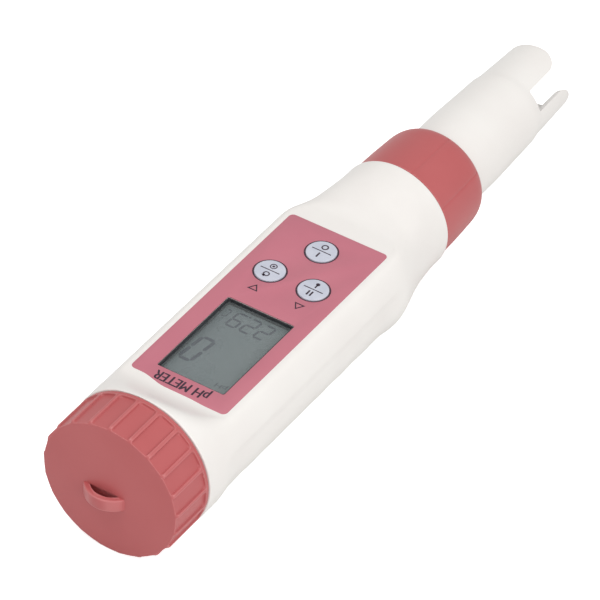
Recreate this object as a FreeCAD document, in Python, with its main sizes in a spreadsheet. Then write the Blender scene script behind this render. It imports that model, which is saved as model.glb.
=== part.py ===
import FreeCAD, Part
import math
import os
import Sketcher
from FreeCAD import Placement, Rotation, Vector

# A pen-shaped pH meter: ribbed battery cap, white barrel with a display flat, threaded collar
# ring and a forked electrode. Every station is a distance along the pen from the cap's end face,
# and every radius is measured from the pen's long axis. Millimetres throughout.

DIMENSIONS = {
    # battery cap
    "loop_tip": -3.9, "face_dome": -0.9, "face_edge": 0.0, "face_radius": 18.45,
    "cap_chamfer_end": 0.6, "cap_radius": 19.0, "cap_end": 12.9, "cap_panel_end": 11.6,
    "rim_radius": 18.82, "cap_inside": 2.0, "cap_bore_radius": 17.15, "panel_inner": 18.35,
    "panel_outer": 21.0,
    "panel_half_width": 2.2, "panel_count": 21,
    "loop_root": 0.9, "loop_half_width": 6.6, "loop_breadth": 3.4, "loop_side": 0.9,
    "loop_height": -1.6, "loop_hole_root": 0.7, "loop_hole_tip": -2.6,
    "loop_hole_half_width": 4.9, "loop_hole_breadth": 3.6,
    # barrel outside
    "spigot_start": 4.0, "spigot_radius": 16.9, "seal_start": 11.0, "seal_end": 12.6,
    "seal_floor": 15.9, "shoulder": 13.1, "barrel_radius": 19.1, "taper_start": 97.0,
    "taper_a": 101.0, "taper_a_radius": 18.1, "taper_b": 106.0, "taper_b_radius": 16.75,
    "taper_c": 111.0, "taper_c_radius": 15.85, "neck_start": 117.0, "neck_radius": 15.35,
    "neck_end": 121.0, "neck_thread_radius": 13.3, "neck_thread_end": 133.2,
    "flat_height": 10.8, "flat_clear": 25.0, "ramp_cap": 15.0, "ramp_cap_mid": 19.0,
    "ramp_cap_mid_height": 13.2, "flat_start": 26.0, "flat_end": 101.0, "ramp_neck_mid": 108.0,
    "ramp_neck_mid_height": 13.0, "ramp_neck": 113.0, "ramp_neck_height": 15.7,
    "belly_height": -18.85, "belly_clear": -22.0, "cut_width": 60.0,
    "grip_start": 20.0, "grip_full": 26.0, "grip_fade": 91.0, "grip_end": 97.0,
    "grip_floor": 18.4, "grip_clear": 21.0, "grip_reach": 25.0, "grip_bottom": -15.0,
    "grip_top": 3.0,
    # barrel inside
    "mouth_radius": 14.6, "chamber_start": 14.0, "chamber_end": 103.0, "chamber_radius": 16.2,
    "chamber_ceiling": 8.6, "wire_radius": 8.3, "neck_bore_start": 109.0, "neck_bore_radius": 11.7,
    "boss_radius": 2.2, "boss_offset": 12.6, "boss_start": 6.5, "boss_end": 14.5,
    "boss_hole_radius": 0.95,
    # label, window and keys
    "label_start": 26.5, "label_end": 95.9, "label_half_width": 13.9, "label_corner": 1.3,
    "label_thick": 0.25, "label_cut": 1.0, "label_clear": 12.0, "opening_depth": 4.0,
    "window_start": 32.0, "window_end": 61.7, "window_right": 9.1,
    "window_left": -9.7, "key_far": 87.8, "key_near": 74.9, "key_side": 6.15,
    "key_hole_radius": 3.95, "key_radius": 3.8, "key_proud": 0.35, "key_flange_radius": 4.6,
    "key_flange_top": 8.58, "key_flange_bottom": 7.5,
    # display stack and board
    "lens_bottom": 8.9, "lens_top": 9.7, "lens_gap": 0.05, "bezel_gap": 0.05,
    "bezel_wall": 0.3, "bezel_top": 10.5, "bezel_bottom": 8.15,
    "glass_start": 30.8, "glass_end": 62.9, "glass_half_width": 10.8, "glass_bottom": 6.3,
    "glass_top": 8.1, "glass_middle": -0.3, "frame_wall": 1.1, "frame_top": 8.5, "frame_gap": 0.1,
    "light_start": 34.5, "light_end": 62.4, "light_half_width": 10.2, "light_bottom": 4.9,
    "light_top": 6.2, "zebra_start": 31.2, "zebra_end": 33.4, "zebra_half_width": 10.0,
    "board_start": 30.6, "board_end": 102.0, "board_half_width": 14.0, "board_bottom": 1.6,
    "board_top": 3.2, "switch_side": 6.0, "switch_top": 6.7, "switch_hole_radius": 1.8,
    "switch_stem_radius": 1.75, "switch_stem_bottom": 5.9, "switch_floor": 5.5,
    "chip_side": 9.0, "chip_tall": 1.4, "chip_station": 48.0, "amplifier_start": 98.0,
    "amplifier_end": 101.5, "amplifier_width": 5.0, "crystal_station": 66.5,
    "crystal_length": 6.0, "crystal_radius": 1.0,
    # battery
    "cell_count": 4, "cell_first": 7.0, "cell_pitch": 5.4, "cell_radius": 5.8,
    "cell_can_length": 4.9, "cell_button_radius": 4.7, "holder_bore": 5.95,
    "holder_radius": 6.75, "holder_end": 29.5, "holder_lip": 29.1,
    "holder_lip_radius": 4.6, "flange_start": 5.0, "flange_end": 6.5, "flange_cut": 3.0,
    "flange_radius": 14.5,
    "plate_start": 28.65, "plate_end": 29.05, "tab_half_width": 1.5, "tab_end": 31.1,
    "tab_top": 3.5, "strip_inner": 7.0, "strip_outer": 7.3, "strip_half_width": 1.5,
    "strip_riser_start": 32.3, "strip_end": 32.6, "spring_start": 2.1, "spring_end": 6.9,
    "spring_radius": 4.3,
    "spring_wire": 0.35, "spring_turns": 3.5, "screw_head_radius": 1.9, "screw_head_start": 3.9,
    "screw_shank_radius": 0.9, "screw_end": 12.5, "cap_seal_station": 11.8,
    "cap_seal_radius": 16.5, "seal_section": 0.58, "neck_seal_station": 130.3,
    "neck_seal_radius": 11.1,
    # collar ring
    "collar_start": 121.25, "collar_bore_radius": 13.45, "collar_radius": 14.85,
    "collar_round_start": 137.6, "collar_round_radius": 14.25, "collar_round_mid": 139.5,
    "collar_round_mid_radius": 13.6, "collar_end": 140.4, "collar_lip_start": 135.8,
    "collar_lip_radius": 12.1, "collar_nose_radius": 12.7,
    # electrode
    "socket_start": 112.0, "socket_end": 125.0, "socket_radius": 11.6,
    "socket_hole_depth": 8.0, "plug_start": 127.0,
    "spigot_two_radius": 11.55, "neck_seal_floor": 10.5, "neck_seal_start": 129.5,
    "neck_seal_end": 131.1, "probe_flange_start": 133.35, "probe_flange_end": 135.5,
    "probe_flange_radius": 13.2, "probe_seat_start": 142.5, "probe_root_radius": 11.75,
    "probe_seat_radius": 11.3, "probe_seat_end": 153.0, "probe_step": 170.5,
    "probe_step_radius": 10.68, "probe_fork_start": 172.6, "probe_fork_radius": 10.28,
    "probe_end": 187.8, "probe_end_radius": 9.6, "reservoir_radius": 9.2,
    "bulkhead_start": 160.0, "bulkhead_end": 166.0,
    "sensor_bore_radius": 8.2, "slot_half_width": 3.0, "slot_corner": 0.9,
    "slot_angle": 145.7, "flare_radius": 5.2, "fork_clear": 5.0,
    "fork_reach": 20.0,
    "stem_radius": 4.0, "stem_bore_radius": 3.2, "stem_start": 140.0, 
    "bulb_station": 171.6, "bulb_radius": 4.4, "bulb_wall": 0.5, "wire_start": 133.2,
    "wire_end": 170.0, "silver_radius": 0.4, "sensor_offset": 6.1, "sensor_radius": 1.5,
    "sensor_start": 150.0, "sensor_end": 174.0, "junction_end": 168.5,
    "plug_end": 133.0, "plug_disc_radius": 9.15, "pin_radius": 0.6,
    "pin_hole_radius": 0.66, "pin_ring_radius": 5.0, "pin_count": 5, "pin_start": 119.5,
    "pin_end": 131.0,
}

MIDDLE = (DIMENSIONS["loop_tip"] + DIMENSIONS["probe_end"]) / 2
# At rest the lowest panel faces down, so the pen lies on the near corners of the ribs beside it.
REST_HEIGHT = math.sqrt(DIMENSIONS["cap_radius"] ** 2 - DIMENSIONS["panel_half_width"] ** 2)
HOME = Placement(Vector(-MIDDLE, 0, REST_HEIGHT), Rotation())

doc = FreeCAD.newDocument("ph_meter")
sheet = doc.addObject("Spreadsheet::Sheet", "dims")
for row, (alias, number) in enumerate(DIMENSIONS.items(), start=1):
    sheet.set(f"A{row}", alias)
    sheet.set(f"B{row}", str(number))
    sheet.setAlias(f"B{row}", alias)
doc.recompute()

pieces = []


def size(alias):
    """The number behind a dimension's name."""
    return float(DIMENSIONS[alias])


def publish(item, label):
    """Name a finished piece and move it from pen stations to the resting frame."""
    item.Label = label
    item.Placement = HOME.multiply(item.Placement)
    pieces.append(item)
    return item


def new_body(name):
    return doc.addObject("PartDesign::Body", name + "_body")


def origin_item(body, role):
    return next(item for item in body.Origin.OriginFeatures if item.Role == role)


def new_sketch(body, name, plane, offset=None):
    """A sketch on one of the body's own planes, moved along the plane's normal if asked."""
    sketch = body.newObject("Sketcher::SketchObject", name)
    sketch.AttachmentSupport = [(origin_item(body, plane), "")]
    sketch.MapMode = "FlatFace"
    if offset:
        sketch.setExpression(".AttachmentOffset.Base.z", f"dims.{offset}")
        sketch.AttachmentOffset = Placement(Vector(0, 0, size(offset)), Rotation())
    return sketch


def pin_point(sketch, line, end, names):
    """Bind one sketch point to two named dimensions; '0' means on the axis."""
    for name, kind, axis in zip(names, ("DistanceX", "DistanceY"), (-2, -1)):
        if name == "0":
            sketch.addConstraint(Sketcher.Constraint("PointOnObject", line, end, axis))
            continue
        sign = -1.0 if name.startswith("-") else 1.0
        alias = name.lstrip("-")
        number = sign * size(alias)
        index = sketch.addConstraint(Sketcher.Constraint(kind, -1, 1, line, end, number))
        sketch.setExpression(f"Constraints[{index}]", f"{'-' if sign < 0 else ''}dims.{alias}")


def number_of(name):
    if name == "0":
        return 0.0
    return -size(name[1:]) if name.startswith("-") else size(name)


def outline(sketch, points):
    """A closed outline of straight sides through points given by dimension names."""
    spots = [Vector(number_of(first), number_of(second), 0) for first, second in points]
    for index, spot in enumerate(spots):
        following = spots[(index + 1) % len(spots)]
        sketch.addGeometry(Part.LineSegment(spot, following), False)
    for index in range(len(spots)):
        following = (index + 1) % len(spots)
        sketch.addConstraint(Sketcher.Constraint("Coincident", index, 2, following, 1))
    for index, names in enumerate(points):
        pin_point(sketch, index, 1, names)
    return sketch


def disc(sketch, centre, radius):
    """A circle whose centre and radius are dimension names."""
    middle = Vector(number_of(centre[0]), number_of(centre[1]), 0)
    line = sketch.addGeometry(Part.Circle(middle, Vector(0, 0, 1), size(radius)), False)
    pin_point(sketch, line, 3, centre)
    index = sketch.addConstraint(Sketcher.Constraint("Radius", line, size(radius)))
    sketch.setExpression(f"Constraints[{index}]", f"dims.{radius}")
    return sketch


def turned(body, name, points, removes=False):
    """Revolve an outline of (station, radius) points about the pen's axis."""
    sketch = outline(new_sketch(body, name + "_profile", "XZ_Plane"), points)
    kind = "PartDesign::Groove" if removes else "PartDesign::Revolution"
    feature = body.newObject(kind, name)
    feature.Profile = sketch
    feature.ReferenceAxis = (origin_item(body, "X_Axis"), [""])
    feature.Angle = 360
    doc.recompute()
    return feature


def swept(body, name, sketch, length, removes=False, midplane=False, reversed_way=False):
    """A pad or a pocket of one sketch; length is a number or a dimension's name."""
    feature = body.newObject("PartDesign::Pocket" if removes else "PartDesign::Pad", name)
    feature.Profile = sketch
    if isinstance(length, str):
        feature.setExpression("Length", f"dims.{length}")
        feature.Length = size(length)
    else:
        feature.Length = length
    if midplane:
        feature.Midplane = True
    feature.Reversed = reversed_way
    before = body.Shape.Volume if removes else 0
    doc.recompute()
    if removes and body.Shape.Volume >= before:
        raise RuntimeError(f"{name} removes nothing")
    return feature


def ring_of(body, feature, count, name):
    """Repeat one feature round the pen's axis."""
    pattern = body.newObject("PartDesign::PolarPattern", name)
    pattern.Originals = [feature]
    pattern.Axis = (origin_item(body, "X_Axis"), [""])
    pattern.Angle = 360
    pattern.Occurrences = count
    body.Tip = pattern
    doc.recompute()
    return pattern


def turned_piece(label, points):
    """A piece that is one turned solid."""
    body = new_body(label)
    turned(body, label + "_turned", points)
    return publish(body, label)


def box_between(name, low, high):
    """A box between two corners, each a triple of dimension names or numbers."""
    block = doc.addObject("Part::Box", name)
    corners = [[number if isinstance(number, (int, float)) else number_of(number)
                for number in corner] for corner in (low, high)]
    spans = [far - near for near, far in zip(*corners)]
    for axis, first, last, span in zip(("Length", "Width", "Height"), low, high, spans):
        if isinstance(first, str) and isinstance(last, str) and "0" not in (first, last):
            lower = f"-dims.{first[1:]}" if first.startswith("-") else f"dims.{first}"
            upper = f"-dims.{last[1:]}" if last.startswith("-") else f"dims.{last}"
            block.setExpression(axis, f"({upper}) - ({lower})")
        else:
            setattr(block, axis, span)
    block.Placement = Placement(Vector(*corners[0]), Rotation())
    return block


def rod_along_pen(name, radius, start, end, side=0.0, height=0.0):
    """A round bar parallel to the pen's axis."""
    bar = doc.addObject("Part::Cylinder", name)
    bar.setExpression("Radius", f"dims.{radius}")
    bar.setExpression("Height", f"dims.{end} - dims.{start}")
    turn = Rotation(Vector(0, 1, 0), 90)
    bar.Placement = Placement(Vector(size(start), side, height), turn)
    return bar


def joined(name, items):
    result = doc.addObject("Part::MultiFuse", name)
    result.Shapes = items
    return result


def cut_away(name, base, tool):
    result = doc.addObject("Part::Cut", name)
    result.Base = base
    result.Tool = tool
    return result


# ---- battery cap: domed end, 21 flat panels between narrow ribs, bore over the spigot, loop
cap = new_body("battery_cap")
turned(cap, "cap_shell", [
    ("face_dome", "0"), ("face_edge", "face_radius"), ("cap_chamfer_end", "cap_radius"),
    ("cap_panel_end", "cap_radius"), ("cap_panel_end", "rim_radius"), ("cap_end", "rim_radius"),
    ("cap_end", "cap_bore_radius"), ("cap_inside", "cap_bore_radius"), ("cap_inside", "0")])
panel = new_sketch(cap, "panel_outline", "YZ_Plane", "face_dome")
outline(panel, [("-panel_half_width", "-panel_inner"), ("panel_half_width", "-panel_inner"),
                ("panel_half_width", "-panel_outer"), ("-panel_half_width", "-panel_outer")])
panel_cut = swept(cap, "cap_panel", panel, size("cap_panel_end") - size("face_dome"),
                  removes=True, reversed_way=True)
ring_of(cap, panel_cut, int(size("panel_count")), "cap_panels")


def arch(body, name, root, tip, half_width, removes):
    """Half-moon between a chord at root and an arc through tip, padded both ways from its plane."""
    sketch = new_sketch(body, name + "_outline", "XY_Plane", "loop_height")
    middle = size("loop_side")
    low = Vector(size(root), middle - size(half_width), 0)
    high = Vector(size(root), middle + size(half_width), 0)
    bow = Part.Arc(low, Vector(size(tip), middle, 0), high)
    sketch.addGeometry(bow, False)
    sketch.addGeometry(Part.LineSegment(high, low), False)
    sketch.addConstraint(Sketcher.Constraint("Block", 0))
    breadth = "loop_hole_breadth" if removes else "loop_breadth"
    return swept(body, name, sketch, breadth, removes=removes, midplane=True)


arch(cap, "loop_arch", "loop_root", "loop_tip", "loop_half_width", removes=False)
arch(cap, "loop_hole", "loop_hole_root", "loop_hole_tip", "loop_hole_half_width", removes=True)
publish(cap, "battery_cap")


def seal_ring(label, station, radius):
    """An O-ring lying in its groove."""
    ring = doc.addObject("Part::Torus", label + "_ring")
    ring.setExpression("Radius1", f"dims.{radius}")
    ring.setExpression("Radius2", "dims.seal_section")
    ring.Placement = Placement(Vector(size(station), 0, 0), Rotation(Vector(0, 1, 0), 90))
    return publish(ring, label)


seal_ring("cap_o_ring", "cap_seal_station", "cap_seal_radius")
seal_ring("neck_o_ring", "neck_seal_station", "neck_seal_radius")

# ---- battery: spring in the cap, four button cells, holder, contacts and the holder's screws
spring_length = size("spring_end") - size("spring_start") - 2 * size("spring_wire")
coil = Part.makeHelix(spring_length / size("spring_turns"), spring_length, size("spring_radius"))
section = Part.Wire(Part.Circle(
    Vector(size("spring_radius"), 0, 0), Vector(0, 1, 0), size("spring_wire")).toShape())
spring = doc.addObject("Part::Feature", "battery_spring_coil")
spring.Shape = Part.Wire(coil).makePipeShell([section], True, True)
spring.Placement = Placement(
    Vector(size("spring_start") + size("spring_wire"), 0, 0), Rotation(Vector(0, 1, 0), 90))
publish(spring, "battery_spring")

for number in range(int(size("cell_count"))):
    first = size("cell_first") + number * size("cell_pitch")
    for alias, step in (("start", 0.0), ("can", size("cell_can_length")),
                        ("end", size("cell_pitch"))):
        key = f"cell_{number + 1}_{alias}"
        row = len(DIMENSIONS) + 1
        DIMENSIONS[key] = round(first + step, 3)
        sheet.set(f"A{row}", key)
        sheet.set(f"B{row}", str(DIMENSIONS[key]))
        sheet.setAlias(f"B{row}", key)
    doc.recompute()
    cell = f"cell_{number + 1}_"
    turned_piece(f"button_cell_{number + 1}", [
        (cell + "start", "0"), (cell + "start", "cell_radius"), (cell + "can", "cell_radius"),
        (cell + "can", "cell_button_radius"), (cell + "end", "cell_button_radius"),
        (cell + "end", "0")])

holder = new_body("battery_holder")
turned(holder, "holder_tube", [
    ("flange_start", "holder_bore"), ("flange_start", "flange_radius"),
    ("flange_end", "flange_radius"), ("flange_end", "holder_radius"),
    ("holder_end", "holder_radius"), ("holder_end", "holder_lip_radius"),
    ("holder_lip", "holder_lip_radius"), ("holder_lip", "holder_bore")])
screw_hole = disc(new_sketch(holder, "holder_screw_hole", "YZ_Plane", "flange_start"),
                  ("boss_offset", "0"), "boss_hole_radius")
hole_cut = swept(holder, "holder_hole", screw_hole, "flange_cut", removes=True, reversed_way=True)
ring_of(holder, hole_cut, 2, "holder_holes")
strip_slot = outline(new_sketch(holder, "strip_slot_outline", "YZ_Plane", "flange_start"), [
    ("-strip_half_width", "-strip_outer"), ("strip_half_width", "-strip_outer"),
    ("strip_half_width", "-strip_inner"), ("-strip_half_width", "-strip_inner")])
swept(holder, "strip_slot", strip_slot, "flange_cut", removes=True, reversed_way=True)
publish(holder, "battery_holder")

plate_disc = rod_along_pen("plate_disc", "cell_radius", "plate_start", "plate_end")
plate_tab = box_between("plate_tab", ("plate_start", "-tab_half_width", "board_top"),
                        ("tab_end", "tab_half_width", "tab_top"))
publish(joined("positive_contact_parts", [plate_disc, plate_tab]), "positive_contact")
strip_bar = box_between("strip_bar", ("flange_start", "-strip_half_width", "-strip_outer"),
                        ("strip_end", "strip_half_width", "-strip_inner"))
strip_riser = box_between(
    "strip_riser", ("strip_riser_start", "-strip_half_width", "-strip_outer"),
    ("strip_end", "strip_half_width", "board_bottom"))
publish(joined("negative_contact_parts", [strip_bar, strip_riser]), "negative_contact")

screws = []
for side in (-1, 1):
    offset = side * size("boss_offset")
    head = rod_along_pen(f"screw_head_{side + 1}", "screw_head_radius", "screw_head_start",
                         "flange_start", offset)
    shank = rod_along_pen(f"screw_shank_{side + 1}", "screw_shank_radius", "flange_start",
                          "screw_end", offset)
    screws.append(joined(f"holder_screw_{side + 1}", [head, shank]))
screw_pair = doc.addObject("Part::Compound", "holder_screw_pair")
screw_pair.Links = screws
publish(screw_pair, "holder_screws")

# ---- barrel: threaded spigot, round body with display flat, belly flat and grips, neck
barrel = new_body("barrel")
turned(barrel, "barrel_outside", [
    ("spigot_start", "0"), ("spigot_start", "spigot_radius"), ("seal_start", "spigot_radius"),
    ("seal_start", "seal_floor"), ("seal_end", "seal_floor"), ("seal_end", "spigot_radius"),
    ("shoulder", "spigot_radius"), ("shoulder", "barrel_radius"),
    ("taper_start", "barrel_radius"), ("taper_a", "taper_a_radius"),
    ("taper_b", "taper_b_radius"), ("taper_c", "taper_c_radius"), ("neck_start", "neck_radius"),
    ("neck_end", "neck_radius"), ("neck_end", "neck_thread_radius"),
    ("neck_thread_end", "neck_thread_radius"), ("neck_thread_end", "0")])
flat = outline(new_sketch(barrel, "display_flat_outline", "XZ_Plane"), [
    ("ramp_cap", "barrel_radius"), ("ramp_cap_mid", "ramp_cap_mid_height"),
    ("flat_start", "flat_height"), ("flat_end", "flat_height"),
    ("ramp_neck_mid", "ramp_neck_mid_height"), ("ramp_neck", "ramp_neck_height"),
    ("ramp_neck", "flat_clear"), ("ramp_cap", "flat_clear")])
swept(barrel, "display_flat", flat, "cut_width", removes=True, midplane=True)
belly = outline(new_sketch(barrel, "belly_flat_outline", "XZ_Plane"), [
    ("shoulder", "belly_height"), ("taper_a", "belly_height"), ("taper_a", "belly_clear"),
    ("shoulder", "belly_clear")])
swept(barrel, "belly_flat", belly, "cut_width", removes=True, midplane=True)
turned(barrel, "cap_mouth", [
    ("spigot_start", "0"), ("spigot_start", "mouth_radius"), ("chamber_start", "mouth_radius"),
    ("chamber_start", "0")], removes=True)
turned(barrel, "neck_bore", [
    ("neck_bore_start", "0"), ("neck_bore_start", "neck_bore_radius"),
    ("neck_thread_end", "neck_bore_radius"), ("neck_thread_end", "0")], removes=True)
turned(barrel, "wire_bore", [
    ("chamber_end", "0"), ("chamber_end", "wire_radius"), ("neck_bore_start", "wire_radius"),
    ("neck_bore_start", "0")], removes=True)


def chamber_section():
    """The main chamber's section: a circle cut flat under the display wall."""
    sketch = new_sketch(barrel, "chamber_outline", "YZ_Plane", "chamber_start")
    half = math.sqrt(size("chamber_radius") ** 2 - size("chamber_ceiling") ** 2)
    left = Vector(-half, size("chamber_ceiling"), 0)
    right = Vector(half, size("chamber_ceiling"), 0)
    sketch.addGeometry(Part.LineSegment(left, right), False)
    sketch.addGeometry(Part.Arc(right, Vector(0, -size("chamber_radius"), 0), left), False)
    sketch.addConstraint(Sketcher.Constraint("Block", 0))
    sketch.addConstraint(Sketcher.Constraint("Block", 1))
    return sketch


swept(barrel, "main_chamber", chamber_section(), size("chamber_end") - size("chamber_start"),
      removes=True, reversed_way=True)


def rounded_plate(body, name, low, high, corner, height):
    """A rounded rectangle on a level plane; low and high are named corners."""
    sketch = new_sketch(body, name, "XY_Plane", height)
    near_x, near_y = number_of(low[0]), number_of(low[1])
    far_x, far_y = number_of(high[0]), number_of(high[1])
    reach = size(corner)
    centres = [(far_x - reach, far_y - reach), (near_x + reach, far_y - reach),
               (near_x + reach, near_y + reach), (far_x - reach, near_y + reach)]
    ends = []
    for quarter, (across, along) in enumerate(centres):
        angles = [math.radians(90 * quarter + step) for step in (0, 45, 90)]
        spots = [Vector(across + reach * math.cos(angle), along + reach * math.sin(angle), 0)
                 for angle in angles]
        sketch.addGeometry(Part.Arc(*spots), False)
        ends.append((spots[0], spots[2]))
    for quarter in range(4):
        following = ends[(quarter + 1) % 4][0]
        sketch.addGeometry(Part.LineSegment(ends[quarter][1], following), False)
    for line in range(8):
        sketch.addConstraint(Sketcher.Constraint("Block", line))
    return sketch


label_low = ("label_start", "-label_half_width")
label_high = ("label_end", "label_half_width")
recess = rounded_plate(barrel, "label_recess_outline", label_low, label_high, "label_corner",
                       "flat_height")
swept(barrel, "label_recess", recess, "label_thick", removes=True)


def window_outline(body, name):
    return outline(new_sketch(body, name, "XY_Plane", "flat_height"), [
        ("window_start", "window_left"), ("window_end", "window_left"),
        ("window_end", "window_right"), ("window_start", "window_right")])


KEYS = {"power_key": ("key_far", "0"), "mode_key": ("key_near", "key_side"),
        "hold_key": ("key_near", "-key_side")}


def key_holes(body, name):
    sketch = new_sketch(body, name, "XY_Plane", "flat_height")
    for place in KEYS.values():
        disc(sketch, place, "key_hole_radius")
    return sketch


swept(barrel, "window_opening", window_outline(barrel, "window_outline"), "opening_depth",
      removes=True)
swept(barrel, "key_openings", key_holes(barrel, "key_opening_outline"), "opening_depth",
      removes=True)
grip = new_body("grip_cutter")
turned(grip, "grip_ring", [
    ("grip_start", "barrel_radius"), ("grip_full", "grip_floor"), ("grip_fade", "grip_floor"),
    ("grip_end", "barrel_radius"), ("grip_end", "grip_clear"), ("grip_start", "grip_clear")])
grip_window = box_between("grip_window", ("grip_start", "-grip_reach", "grip_bottom"),
                          ("grip_end", "grip_reach", "grip_top"))
grip_bands = doc.addObject("Part::Common", "grip_bands")
grip_bands.Base = grip
grip_bands.Tool = grip_window
gripped = cut_away("gripped_barrel", barrel, grip_bands)
bosses = []
for side in (-1, 1):
    offset = side * size("boss_offset")
    post = rod_along_pen(f"boss_post_{side + 1}", "boss_radius", "boss_start", "boss_end", offset)
    bore = rod_along_pen(f"boss_bore_{side + 1}", "boss_hole_radius", "boss_start", "screw_end",
                         offset)
    bosses.append(cut_away(f"screw_boss_{side + 1}", post, bore))
publish(joined("barrel_with_bosses", [gripped] + bosses), "barrel")

# ---- label overlay with its window and key holes
label = new_body("label_overlay")
sheet_outline = rounded_plate(label, "label_outline", label_low, label_high, "label_corner",
                              "flat_height")
swept(label, "label_sheet", sheet_outline, "label_thick", reversed_way=True)
swept(label, "label_window", window_outline(label, "label_window_outline"), "label_cut",
      removes=True)
swept(label, "label_key_holes", key_holes(label, "label_key_outline"), "label_cut",
      removes=True)
publish(label, "label_overlay")

# ---- display stack, from the clear lens down to the circuit board
def inside_window(name, inset, bottom, top):
    """A block inside the window opening, inset from its four sides."""
    return box_between(name, (size("window_start") + inset, size("window_left") + inset, bottom),
                       (size("window_end") - inset, size("window_right") - inset, top))


bezel_inset = size("bezel_gap") + size("bezel_wall")
publish(inside_window("lens_block", bezel_inset + size("lens_gap"), "lens_bottom", "lens_top"),
        "display_window")


def around_glass(name, start, end, half_width, bottom, top, grow=0.0):
    """A block centred on the display's own middle line, grown sideways by grow."""
    middle = size("glass_middle")
    return box_between(name, (size(start) - grow, middle - size(half_width) - grow, bottom),
                       (size(end) + grow, middle + size(half_width) + grow, top))


publish(around_glass("glass_block", "glass_start", "glass_end", "glass_half_width",
                     "glass_bottom", "glass_top"), "lcd_glass")
publish(around_glass("light_block", "light_start", "light_end", "light_half_width",
                     "light_bottom", "light_top"), "backlight_plate")
publish(around_glass("zebra_block", "zebra_start", "zebra_end", "zebra_half_width",
                     "board_top", "glass_bottom"), "zebra_strip")
wall = size("frame_gap") + size("frame_wall")
frame_block = around_glass("frame_block", "glass_start", "glass_end", "glass_half_width",
                           "tab_top", "frame_top", grow=wall)
frame_space = around_glass("frame_space", "glass_start", "glass_end", "glass_half_width",
                           "board_top", "bezel_bottom", grow=size("frame_gap"))
bezel_block = inside_window("bezel_block", size("bezel_gap"), "bezel_bottom", "bezel_top")
bezel_space = inside_window("bezel_space", bezel_inset, "glass_bottom", "label_clear")
frame_solid = joined("frame_solid", [frame_block, bezel_block])
frame_hollow = joined("frame_hollow", [frame_space, bezel_space])
publish(cut_away("frame_ring", frame_solid, frame_hollow), "lcd_frame")
publish(box_between("board_block", ("board_start", "-board_half_width", "board_bottom"),
                    ("board_end", "board_half_width", "board_top")), "circuit_board")
half_chip = size("chip_side") / 2
publish(box_between("chip_block", (size("chip_station") - half_chip, -half_chip, "board_top"),
                    (size("chip_station") + half_chip, half_chip,
                     size("board_top") + size("chip_tall"))), "microcontroller")
half_width = size("amplifier_width") / 2
publish(box_between("amplifier_block",
                    ("amplifier_start", -half_width, "board_top"),
                    ("amplifier_end", half_width,
                     size("board_top") + size("chip_tall"))), "probe_amplifier")
crystal = doc.addObject("Part::Cylinder", "crystal_can")
crystal.setExpression("Radius", "dims.crystal_radius")
crystal.setExpression("Height", "dims.crystal_length")
crystal.Placement = Placement(
    Vector(size("crystal_station"), size("crystal_length") / 2,
           size("board_top") + size("crystal_radius")), Rotation(Vector(1, 0, 0), 90))
publish(crystal, "clock_crystal")


def upright(name, radius, bottom, top, place):
    """A round post standing on the board's normal, at a named place."""
    post = doc.addObject("Part::Cylinder", name)
    post.setExpression("Radius", f"dims.{radius}")
    post.setExpression("Height", f"dims.{top} - dims.{bottom}")
    post.Placement = Placement(
        Vector(number_of(place[0]), number_of(place[1]), size(bottom)), Rotation())
    return post


# ---- keys: each has a plunger, the switch's own stem, and a tact switch on the board
key_top = size("flat_height") + size("key_proud")
for key, place in KEYS.items():
    middle_x, middle_y = number_of(place[0]), number_of(place[1])
    body = new_body(key)
    head = disc(new_sketch(body, key + "_head", "XY_Plane", "key_flange_bottom"), place,
                "key_radius")
    swept(body, key + "_plunger", head, key_top - size("key_flange_bottom"))
    skirt = disc(new_sketch(body, key + "_skirt", "XY_Plane", "key_flange_bottom"), place,
                 "key_flange_radius")
    swept(body, key + "_flange", skirt, size("key_flange_top") - size("key_flange_bottom"))
    publish(body, key)
    stem = upright(key + "_stem_post", "switch_stem_radius", "switch_stem_bottom",
                   "key_flange_bottom", place)
    publish(stem, key + "_switch_stem")
    half_side = size("switch_side") / 2
    case = box_between(key + "_case", (middle_x - half_side, middle_y - half_side, "board_top"),
                       (middle_x + half_side, middle_y + half_side, "switch_top"))
    well = upright(key + "_well", "switch_hole_radius", "switch_floor", "key_flange_bottom",
                   place)
    publish(cut_away(key + "_switch_case", case, well), key + "_tact_switch")

# ---- collar ring: threaded bore over the neck, lip behind the electrode's flange
turned_piece("collar_ring", [
    ("collar_start", "collar_bore_radius"), ("collar_start", "collar_radius"),
    ("collar_round_start", "collar_round_radius"), ("collar_round_mid", "collar_round_mid_radius"),
    ("collar_end", "collar_nose_radius"), ("collar_end", "collar_lip_radius"),
    ("collar_lip_start", "collar_lip_radius"), ("collar_lip_start", "collar_bore_radius")])


def pin_holes(body, name, plane_station):
    sketch = new_sketch(body, name, "YZ_Plane", plane_station)
    disc(sketch, ("0", "pin_ring_radius"), "pin_hole_radius")
    return sketch


# ---- electrode socket in the neck and the plug with its pins
socket = new_body("electrode_socket")
turned(socket, "socket_disc", [
    ("socket_start", "0"), ("socket_start", "socket_radius"), ("socket_end", "socket_radius"),
    ("socket_end", "0")])
socket_hole = swept(socket, "socket_hole", pin_holes(socket, "socket_hole_outline", "socket_end"),
                    "socket_hole_depth", removes=True)
ring_of(socket, socket_hole, int(size("pin_count")), "socket_holes")
publish(socket, "electrode_socket")
plug = new_body("electrode_plug")
turned(plug, "plug_disc", [
    ("plug_start", "0"), ("plug_start", "plug_disc_radius"), ("plug_end", "plug_disc_radius"),
    ("plug_end", "0")])
plug_hole = swept(plug, "plug_hole", pin_holes(plug, "plug_hole_outline", "plug_start"),
                  size("pin_end") - size("plug_start"), removes=True, reversed_way=True)
ring_of(plug, plug_hole, int(size("pin_count")), "plug_holes")
publish(plug, "electrode_plug")
pin_bars = []
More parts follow.
